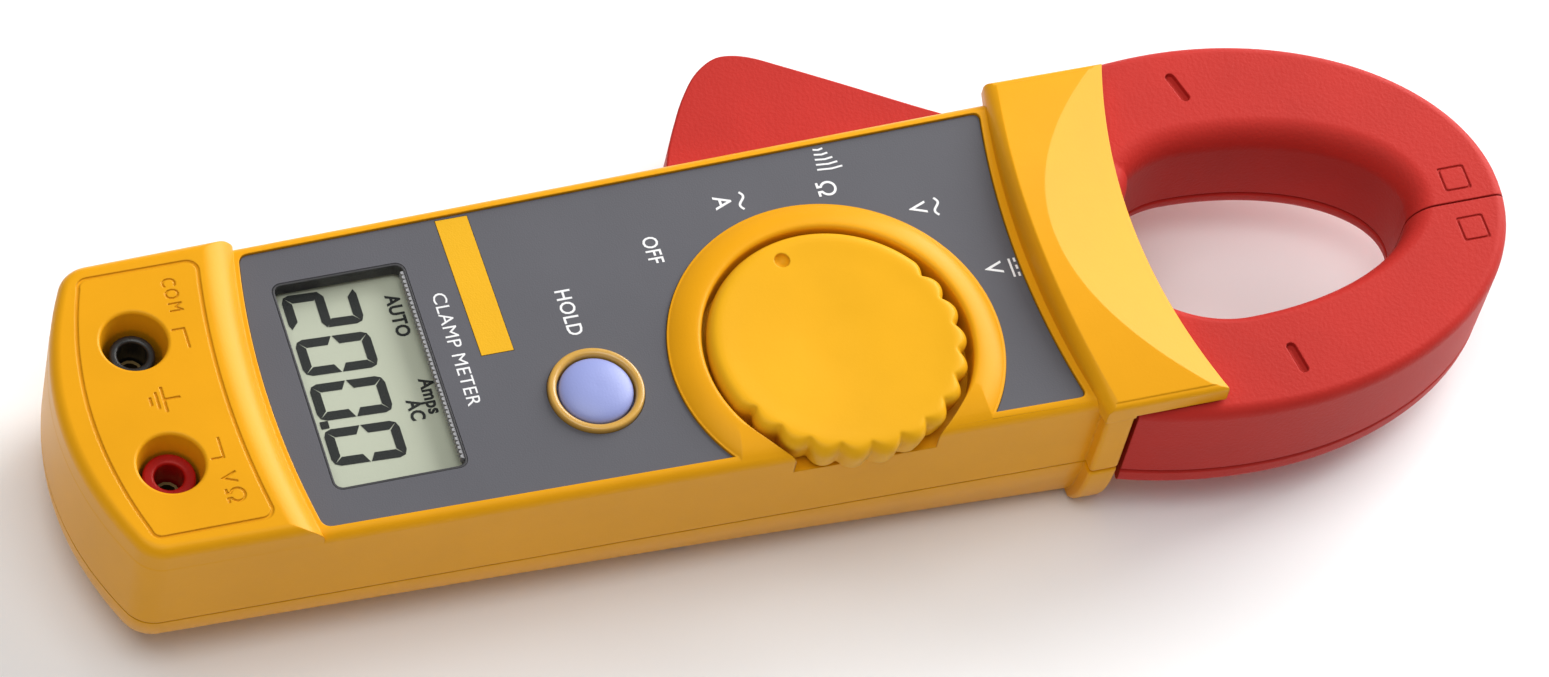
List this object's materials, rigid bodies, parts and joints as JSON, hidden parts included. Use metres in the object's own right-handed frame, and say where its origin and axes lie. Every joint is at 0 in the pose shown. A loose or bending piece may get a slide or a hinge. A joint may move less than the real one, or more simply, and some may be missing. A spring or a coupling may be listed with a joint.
{
  "type": "clamp meter",
  "caption": "Handheld lever-jaw clamp meter with rotary switch, hold button, display, lead sockets and an opening current jaw.",
  "frame": {"origin": "on the flat back face, midway across the body, about 81 mm from the socket end", "axes": "+X across the meter to the right of the display, +Y along the meter to the jaws, +Z out of the display"},
  "size_m": [0.0788, 0.221, 0.0331],
  "materials": {
    "case_yellow": "satin moulded ABS, warm yellow",
    "panel_grey": "matt printed grey overlay",
    "badge_yellow": "plain yellow printed strip",
    "jaw_red": "fine-textured red moulding",
    "button_lavender": "smooth lavender-blue elastomer",
    "ring_gold": "yellow-gold trim ring",
    "socket_black": "black insert",
    "socket_red": "red insert",
    "contact_brass": "brass tube",
    "spring_steel": "steel hardware",
    "core_iron": "laminated silicon iron, ground ends",
    "coil_copper": "enamelled copper winding",
    "lcd_glass": "grey-green LCD cell",
    "clear_window": "clear window",
    "inner_plastic": "dark inner moulding",
    "strip_rubber": "elastomer connector",
    "board_green": "green circuit board",
    "cell_sleeve": "plain dark cell sleeve"
  },
  "bodies": {
    "root": {"front_shell": "case_yellow", "back_shell": "case_yellow", "battery_door": "case_yellow", "face_panel": "panel_grey", "badge_strip": "badge_yellow", "fixed_jaw_shell": "jaw_red", "fixed_jaw_cover": "jaw_red", "hold_button_ring": "ring_gold", "com_socket": "socket_black", "volt_socket": "socket_red", "com_contact": "contact_brass", "volt_contact": "contact_brass", "door_screw": "spring_steel", "case_screw_1": "spring_steel", "case_screw_2": "spring_steel", "case_screw_3": "spring_steel", "case_screw_4": "spring_steel", "root_screw": "spring_steel", "jaw_pivot_pin": "spring_steel", "jaw_return_spring": "spring_steel", "detent_ball": "spring_steel", "detent_spring": "spring_steel", "cell_spring_1": "spring_steel", "cell_spring_2": "spring_steel", "cell_link_plate": "spring_steel", "fixed_core": "core_iron", "fixed_coil": "coil_copper", "lcd_cell": "lcd_glass", "lcd_window": "clear_window", "lcd_frame": "inner_plastic", "hold_switch": "inner_plastic", "battery_tray": "inner_plastic", "buzzer": "inner_plastic", "contact_strip_1": "strip_rubber", "contact_strip_2": "strip_rubber", "main_board": "board_green", "battery_1": "cell_sleeve", "battery_2": "cell_sleeve"},
    "moving_jaw": {"moving_jaw_shell": "jaw_red", "moving_jaw_cover": "jaw_red", "moving_core": "core_iron", "moving_coil": "coil_copper", "lever_screw": "spring_steel"},
    "dial": {"switch_knob": "case_yellow", "switch_rotor": "inner_plastic"},
    "hold_button": {"hold_button": "button_lavender"}
  },
  "joints": [
    {"name": "jaw_pivot", "type": "hinge", "parent": "root", "child": "moving_jaw", "pos_m": [-0.016, 0.074, 0.0115], "axis": [0, 0, 1], "range_deg": [0, 22], "stiffness_Nm_per_rad": 0.9, "springref_deg": -20.05},
    {"name": "dial_turn", "type": "hinge", "parent": "root", "child": "dial", "pos_m": [0.0097, 0.0313, 0.0308], "axis": [0, 0, 1], "range_deg": [-90, 30]},
    {"name": "hold_press", "type": "slide", "parent": "root", "child": "hold_button", "axis": [0, 0, -1], "range_m": [0, 0.0008], "stiffness_N_per_m": 1500, "springref_m": -0.0005}
  ]
}
